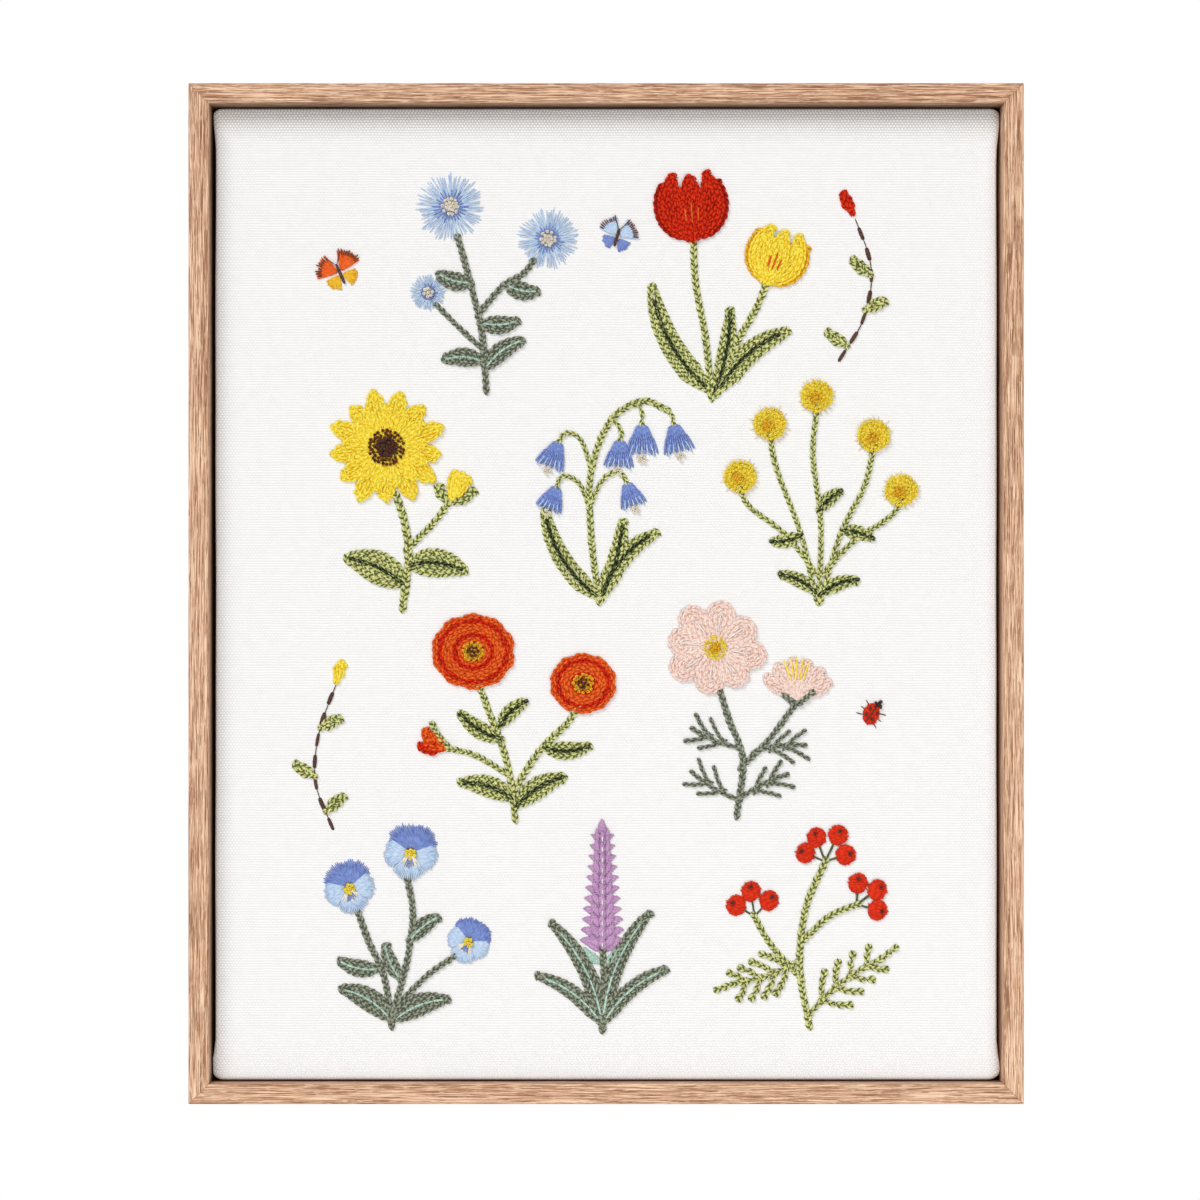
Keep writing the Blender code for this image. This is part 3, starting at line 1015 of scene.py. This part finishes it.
def butterfly(pen, upper, lower):
    """A small satin-stitched butterfly."""
    for side in (-1, 1):
        aim = 90 - side * 48
        pen.rays(upper, (side * 0.8, 1.5), 0.6, 11.5, 15, 1.0, 0.3, 0.08, (aim - 34, aim + 34))
        pen.rays("brown", (side * 0.8, 1.5), 8.6, 11.8, 9, 0.8, 0.8, 0.1, (aim - 30, aim + 30))
        aim = 90 - side * 128
        pen.rays(lower, (side * 0.8, 0), 0.6, 8.2, 13, 1.0, 0.2, 0.08, (aim - 34, aim + 34))
        pen.stitches("bark", [(side * 0.4, 5.5)], [(side * 4.2, 11.5)], 0.5, 0.9)
    pen.stitches("bark", [(0, -5.5)], [(0, 6)], 2.0, 1.0)


def ladybird(pen):
    """A small red beetle of satin stitch, its spots short stitches."""
    pen.satin("red", (0, -5.6), (0, 5.6), 9.8, shape=disc, lift=0.6, slant=0.25, floss=1.3)
    pen.stitches("bark", [(0, -5.4)], [(0, 5.2)], 0.7, 1.5)
    pen.dots("bark", (0, 6.6), 1.9, 0.3)
    for across, up in ((-2.5, 2.2), (2.5, 2.2), (-2.3, -2.0), (2.3, -2.0)):
        pen.stitches("bark", [(across, up - 1.0)], [(across, up + 1.0)], 1.7, 1.5)
    for side in (-1, 1):
        for up in (-3, 0, 3):
            pen.stitches("bark", [(side * 3.5, up)], [(side * 7, up + 1.5 * np.sign(up))], 0.6, 0.1)


def twig(pen, points, buds, stitch=7.6, gap=4.4):
    """A twig of running stitch, with a thin thread between the stitches, and small leaves and a bud on it."""
    line = through(points, 30)
    along = lengths_along(line)
    start = 0.0
    while start + stitch < along[-1]:
        dash = read_at((start, start + stitch), along, line)
        bridge = read_at((start + stitch * 0.9, start + stitch * 1.1 + gap), along, line)
        pen.stitches("bark", dash[:1], dash[1:], 2.4, 0.1)
        pen.stitches("bark", bridge[:1], bridge[1:], 0.6, 0.0)
        start += stitch + gap
    for base, tip, thread in buds:
        pen.leaf(thread, base, tip, 7.2, 0.1)


def embroidery():
    """The whole panel: ten plants in four staggered rows, with twigs and insects in the spaces."""
    plan = Plan()
    for plant, across, up, size in (
        (asters, -66, 112, 1.1), (tulips, 58, 108, 1.1), (sunflower, -112, -8, 1.08), (bells, -4, -4, 1.08),
        (buttons, 116, -4, 1.08), (zinnias, -50, -124, 1.1), (cosmos, 72, -122, 1.1),
        (pansies, -118, -238, 1.06), (hyacinth, -2, -240, 1.02), (berries, 112, -238, 1.08),
    ):
        plant(Sprig(plan, across, up, size=size))
    butterfly(Sprig(plan, -146, 176, turn=24, size=1.05), "orange", "gold")
    butterfly(Sprig(plan, 6, 196, turn=-16, size=0.9), "pale_blue", "periwinkle")
    ladybird(Sprig(plan, 146, -66, turn=-38))
    twig(Sprig(plan, 128, 128), [(0, 0), (14, 24), (18, 52), (8, 82)], (
        ((5, 9), (-8, 18), "leaf"), ((15, 28), (28, 34), "leaf"), ((18, 48), (6, 58), "leaf"),
        ((8, 82), (2, 95), "red"),
    ))
    twig(Sprig(plan, -150, -130), [(0, 0), (-10, 26), (-8, 54), (2, 82)], (
        ((-4, 10), (8, 20), "leaf"), ((-10, 30), (-23, 38), "leaf"), ((-7, 56), (6, 62), "leaf"),
        ((2, 82), (6, 95), "yellow"),
    ))
    return plan


def behind(plan, thread):
    """The reverse of one thread's work: a short stitch under each link, and each long stitch once more."""
    pairs = []
    for line, _ in plan.chains.get(thread, ()):
        along = lengths_along(line)
        spots = read_at(np.arange(0, along[-1], CHAIN_PITCH), along, line)
        pairs += zip(spots[:-1], spots[1:])
    pairs += [(np.array(start[:2]), np.array(end[:2])) for start, end, _ in plan.long.get(thread, ())]
    shown = [pair for pair in pairs if np.all(np.abs((pair[0] + pair[1]) / 2) < BACK_SHOWS)]
    return [tuple((-across, up, 0) for across, up in pair) + (BACK_STITCH_WIDTH,) for pair in shown]


def as_rows(rows):
    """What a tree chains along: rows that each hold a line and its widths."""
    points, edges, widths = [], [], []
    for line, width in rows:
        first = len(points)
        points += list(line)
        widths += list(width)
        edges += [(first + step, first + step + 1) for step in range(len(line) - 1)]
    return {"points": points, "edges": edges, "widths": widths}


def as_pairs(rows):
    """What a tree lays stitches on: rows that each hold a start, an end and a width."""
    points = [spot for start, end, _ in rows for spot in (start, end)]
    edges = [(2 * index, 2 * index + 1) for index in range(len(rows))]
    widths = [width for _, _, width in rows for _ in (0, 1)]
    return {"points": points, "edges": edges, "widths": widths}


def as_patches(patches):
    """What a tree spreads knots over: patches that each hold the points round them."""
    points, faces = [], []
    for patch in patches:
        faces.append(range(len(points), len(points) + len(patch)))
        points += list(patch)
    return {"points": points, "faces": faces}


def sew_everything(plan):
    """Every stitch as a piece for each thread and kind of stitch."""
    chain_tree = shaping("chain_rows", ("Pitch", "Height"), chained)
    long_tree = shaping("long_stitches", ("Height",), laid)
    knot_tree = shaping("knots", ("Pitch", "Height"), knotted)
    chain_sizes = {"Stitch": chain_link(), "Pitch": CHAIN_PITCH, "Height": CHAIN_HEIGHT}
    long_sizes = {"Stitch": straight_stitch("long_stitch", 5), "Height": FLOSS_HEIGHT}
    knot_sizes = {"Stitch": wound_knot(), "Pitch": KNOT_PITCH, "Height": KNOT_HEIGHT}
    back_sizes = {"Stitch": straight_stitch("back_stitch", 4), "Height": BACK_STITCH_HEIGHT}
    wools = {thread: yarn(thread) for thread in THREADS}
    flosses = {thread: yarn(thread, floss=True) for thread in THREADS}
    reverse = {thread: behind(plan, thread) for thread in THREADS}
    pieces = []
    for kind, work, shape, tree, sizes, yarns, place in (
        ("chain", plan.chains, as_rows, chain_tree, chain_sizes, wools, TO_FRAME),
        ("long", plan.long, as_pairs, long_tree, long_sizes, flosses, TO_FRAME),
        ("knots", plan.knots, as_patches, knot_tree, knot_sizes, wools, TO_FRAME),
        ("back", reverse, as_pairs, long_tree, back_sizes, wools, TO_BACK),
    ):
        for seed, (thread, rows) in enumerate(work.items()):
            if rows:
                settings = {"Thread": yarns[thread], "Seed": seed, **sizes}
                pieces.append(sew(f"{kind}_{thread}", tree, settings, place=place, **shape(rows)))
    for sizes in (chain_sizes, long_sizes, knot_sizes, back_sizes):
        bpy.data.objects.remove(sizes["Stitch"])
    return pieces


def stations(half):
    """Places from one edge of the flat front to the other, closer together over the margins."""
    inner = np.linspace(-half + MARGIN, half - MARGIN, round(2 * (half - MARGIN) / COARSE_STEP) + 1)
    outer = np.linspace(half - MARGIN, half, round(MARGIN / FINE_STEP) + 1)[1:]
    return np.concatenate([-outer[::-1], inner, outer])


def cloth_edge_path():
    """From the flat front round the edge to the end of the hem.

    Each entry is the inset from the side, the place from front to back, the share of the fold that stands out
    and the distance along the cloth.
    """
    quarter = math.pi / 2
    side_start = FRONT_RADIUS * quarter
    side = CLOTH_BACK - CLOTH_FRONT - FRONT_RADIUS - BACK_RADIUS
    back_start = side_start + side
    hem_start = back_start + BACK_RADIUS * quarter
    path = []
    for step in range(1, EDGE_STEPS + 1):
        angle = quarter * step / EDGE_STEPS
        inset, back = FRONT_RADIUS * (1 - math.sin(angle)), CLOTH_FRONT + FRONT_RADIUS * (1 - math.cos(angle))
        path.append((inset, back, math.sin(angle) ** 2, FRONT_RADIUS * angle))
    for step in range(1, EDGE_STEPS + 1):
        along = side * step / EDGE_STEPS
        path.append((0.0, CLOTH_FRONT + FRONT_RADIUS + along, 1.0, side_start + along))
    for step in range(1, BACK_EDGE_STEPS + 1):
        angle = quarter * step / BACK_EDGE_STEPS
        inset, back = BACK_RADIUS * (1 - math.cos(angle)), CLOTH_BACK - BACK_RADIUS * (1 - math.sin(angle))
        path.append((inset, back, math.cos(angle), back_start + BACK_RADIUS * angle))
    for step in range(1, EDGE_STEPS + 1):
        along = (HEM_WIDTH - BACK_RADIUS) * step / EDGE_STEPS
        path.append((BACK_RADIUS + along, CLOTH_BACK, 0.0, hem_start + along))
    return path


def rounded(x, z, half_wide, half_tall, radius):
    """Draws a place near a corner in to the corner's arc. Gives the place and how far sideways it faces."""
    over_x, over_z = abs(x) - half_wide + radius, abs(z) - half_tall + radius
    if over_x <= 0 or over_z <= 0:
        return x, z, float(over_x > over_z)
    reach = math.hypot(over_x, over_z)
    drawn = max(over_x, over_z) / reach
    x = math.copysign(half_wide - radius + over_x * drawn, x)
    z = math.copysign(half_tall - radius + over_z * drawn, z)
    return x, z, over_x / reach


def wander(x, z, phase):
    """A slow unevenness over the cloth, between about -1.5 and 1.5."""
    return math.sin(x * 31 + phase) * math.cos(z * 23 + phase * 1.7) + 0.5 * math.sin(x * 74 - z * 61 + phase)


def fold_at(x, z):
    """The sizes of the folded corner in the quarter of the panel where a place lies, in metres."""
    return [size * MM for size in CORNER_FOLDS[(int(math.copysign(1, x)), int(math.copysign(1, z)))]]


def flat_front(half_x, half_z):
    """The front's vertices, their places on the map, its faces, and the vertices round its rim."""
    across, up = stations(half_x), stations(half_z)
    wide, tall = len(across), len(up)
    vertices, spots = [], []
    for z in up:
        for x in across:
            share = min(1, (half_x - abs(x)) / MARGIN, (half_z - abs(z)) / MARGIN)
            place_x, place_z, _ = rounded(x, z, half_x, half_z, fold_at(x, z)[3] - FRONT_RADIUS)
            vertices.append((place_x, CLOTH_FRONT + FRONT_WAVE * wander(x, z, 0.4) * share, place_z))
            spots.append((x, z))
    starts = [row * wide + column for row in range(tall - 1) for column in range(wide - 1)]
    faces = [(corner, corner + 1, corner + wide + 1, corner + wide) for corner in starts]
    rim = list(range(wide))
    rim += [row * wide + wide - 1 for row in range(1, tall)]
    rim += [(tall - 1) * wide + column for column in range(wide - 2, -1, -1)]
    rim += [row * wide for row in range(tall - 2, 0, -1)]
    return vertices, spots, faces, rim


def turned_place(spot_x, spot_z, share_x, share_z, inset, fold_share):
    """Where a spot of the rim comes to lie on a ring of the turned edge, with the corner's fold."""
    half_wide, half_tall = CLOTH_HALF_WIDTH - inset, CLOTH_HALF_HEIGHT - inset
    x, z = share_x * half_wide, share_z * half_tall
    stands_out, reach, ramp_length, radius = fold_at(x, z)
    x, z, sideways = rounded(x, z, half_wide, half_tall, max(radius - inset, INNER_CORNER_RADIUS))
    ramp = 1 - min(1, max(0, (half_tall - abs(z) - reach) / ramp_length))
    ramp = ramp * ramp * (3 - 2 * ramp)
    outward = (stands_out * ramp + SIDE_WAVE * wander(spot_x, spot_z, 2.1)) * fold_share * sideways
    return x + math.copysign(1, x) * outward, z


def wrapped_cloth():
    """The canvas as one sheet: flat front, rounded edges, sides with the folded corners, and the hem."""
    half_x, half_z = CLOTH_HALF_WIDTH - FRONT_RADIUS, CLOTH_HALF_HEIGHT - FRONT_RADIUS
    vertices, spots, faces, before = flat_front(half_x, half_z)
    rim_spots = [spots[index] for index in before]
    for inset, back, fold_share, along in cloth_edge_path():
        ring = []
        for spot_x, spot_z in rim_spots:
            share_x, share_z = spot_x / half_x, spot_z / half_z
            x, z = turned_place(spot_x, spot_z, share_x, share_z, inset, fold_share)
            on_side = abs(share_x) >= abs(share_z)
            ring.append(len(vertices))
            vertices.append((x, back, z))
            past_x, past_z = math.copysign(along, x) * on_side, math.copysign(along, z) * (not on_side)
            spots.append((spot_x + past_x, spot_z + past_z))
        for index in range(len(ring)):
            after = (index + 1) % len(ring)
            faces.append((before[index], ring[index], ring[after], before[after]))
        before = ring
    flat = [spots[corner] for face in faces for corner in face]
    mesh = new_mesh("cloth_sheet", [(x, y, z + PANEL_MIDDLE) for x, y, z in vertices], faces, flat=flat)
    mesh.shade_smooth()
    sheet = new_object("stretched_canvas", mesh)
    thickness = sheet.modifiers.new("thickness", "SOLIDIFY")
    thickness.thickness = CLOTH_THICKNESS
    thickness.offset = -1
    sheet.data = plain_mesh(sheet)
    sheet.modifiers.clear()
    sheet.data.materials.clear()
    sheet.data.materials.append(canvas())
    return sheet


def dress_frame():
    """Grain along each rail and bar, painted shade on the rails' inner faces, and the glue lines in the mitres.
    """
    for side, stands in (("top", False), ("right", True), ("bottom", False), ("left", True)):
        along, half = (2, FRAME_HALF_WIDTH) if stands else (0, FRAME_HALF_HEIGHT)
        # Each rail has its own copy of the wood, which differs only in the depths of its painted shade
        rail = wood(f"rail_{side}", along, RAIL_COLOURS, 1.0, half - RAIL_FACE, SHADE_DEPTHS[side])
        bar = wood(f"bar_{side}", along, BAR_COLOURS, 0.5)
        for kind, material in (("rail", rail), ("bar", bar)):
            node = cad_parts[f"{kind}_{side}"]
            node.data.materials.clear()
            node.data.materials.append(material)
    glue, _, _ = finish("glue_line", Base_Color=paint(GLUE_COLOUR), Roughness=0.7, Specular_IOR_Level=0.2)
    for right in (-1, 1):
        for above in (-1, 1):
            mitre_filling(right, above, glue)


def rail_outline(steps=4):
    """A rail's section, a little inside its faces: each corner's distance in from the outer edge and back."""
    radius, front = RAIL_EDGE_RADIUS, FRAME_FRONT
    outer, inner = GLUE_RECESS, RAIL_FACE - GLUE_RECESS
    ledge = RAIL_FACE + LEDGE_REACH - GLUE_RECESS
    outline = []
    for inward, start in ((outer + radius, math.pi), (inner - radius, 1.5 * math.pi)):
        for step in range(steps + 1):
            angle = start + math.pi / 2 * step / steps
            outline.append((inward + radius * math.cos(angle), front + radius + radius * math.sin(angle)))
    outline += [(inner, -LEDGE_THICKNESS), (ledge, -LEDGE_THICKNESS), (ledge, 0)]
    outline += [(outer + radius, 0), (outer, -radius)]
    return outline


def mitre_filling(right, above, material):
    """The glue line that closes one mitre, as thick as the gap between the two rails."""
    outline = rail_outline()
    vertices = []
    for side in (-0.5, 0.5):
        shift = side * MITRE_FILL / math.sqrt(2)
        for inward, back in outline:
            x = right * (FRAME_HALF_WIDTH - inward + shift)
            vertices.append((x, back, above * (FRAME_HALF_HEIGHT - inward - shift) + PANEL_MIDDLE))
    count = len(outline)
    faces = [tuple(range(count)), tuple(range(2 * count - 1, count - 1, -1))]
    for index in range(count):
        after = (index + 1) % count
        faces.append((index, index + count, after + count, after))
    if right * above < 0:
        faces = [face[::-1] for face in faces]
    name = f"mitre_{'top' if above > 0 else 'bottom'}_{'right' if right > 0 else 'left'}"
    mesh = new_mesh(name, vertices, faces)
    mesh.materials.append(material)
    filling = new_object(name, mesh)
    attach(filling, "root")


def soft_lights():
    middle = Vector((0, FRAME_FRONT, PANEL_MIDDLE))
    for name, ((x, y, above_middle), size, watts) in LIGHTS.items():
        light = bpy.data.lights.new(name, "AREA")
        light.shape = "RECTANGLE"
        light.size, light.size_y = size
        light.energy = watts
        lamp = new_object(name, light)
        lamp.location = (x, y, PANEL_MIDDLE + above_middle)
        lamp.rotation_euler = (middle - lamp.location).to_track_quat("-Z", "Y").to_euler()


def surround():
    """A world that the camera sees as white, and that lights the panel faintly."""
    world = bpy.data.worlds.new("surround")
    bpy.context.scene.world = world
    world.use_nodes = True
    graph = Graph(world.node_tree)
    seen = graph.node("ShaderNodeLightPath", output="Is Camera Ray")
    background = world.node_tree.nodes["Background"]
    background.inputs["Color"].default_value = (1, 1, 1, 1)
    graph.tree.links.new((seen * (1 - AMBIENT) + AMBIENT).socket, background.inputs["Strength"])


def pale_floor():
    signs = ((-1, -1), (1, -1), (1, 1), (-1, 1))
    corners = [(x * FLOOR_REACH, y * FLOOR_REACH, PANEL_MIDDLE - FLOOR_DROP) for x, y in signs]
    floor = new_object("floor", new_mesh("floor", corners, [(0, 1, 2, 3)]))
    material, _, _ = finish("pale_floor", Roughness=0.8, Base_Color=(0.93, 0.93, 0.92, 1))
    floor.data.materials.append(material)


def photo_camera():
    """A camera straight ahead of the panel, a little below its middle, with the photograph's framing."""
    view_side = PHOTO_SIDE * PIXEL
    camera_data = bpy.data.cameras.new("camera")
    camera_data.sensor_width = SENSOR
    camera_data.lens = SENSOR * CAMERA_DISTANCE / view_side
    camera_data.shift_y = CAMERA_RISE
    camera = new_object("camera", camera_data)
    frame_middle_up = (rail_high[2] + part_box("rail_bottom")[0][2]) / 2
    across = (PHOTO_SIDE / 2 - MIDDLE_PIXEL[0]) * PIXEL
    up = frame_middle_up - (PHOTO_SIDE / 2 - MIDDLE_PIXEL[1]) * PIXEL
    camera.location = (across, FRAME_FRONT - CAMERA_DISTANCE, up - CAMERA_RISE * view_side)
    camera.rotation_euler = (math.pi / 2, 0, 0)
    bpy.context.scene.camera = camera


dress_frame()
cloth = wrapped_cloth()
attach(cloth, "root")
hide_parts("cloth")
for piece in sew_everything(embroidery()):
    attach(piece, "root")

bpy.context.scene.view_settings.view_transform = "Standard"
surround()
soft_lights()
pale_floor()
photo_camera()
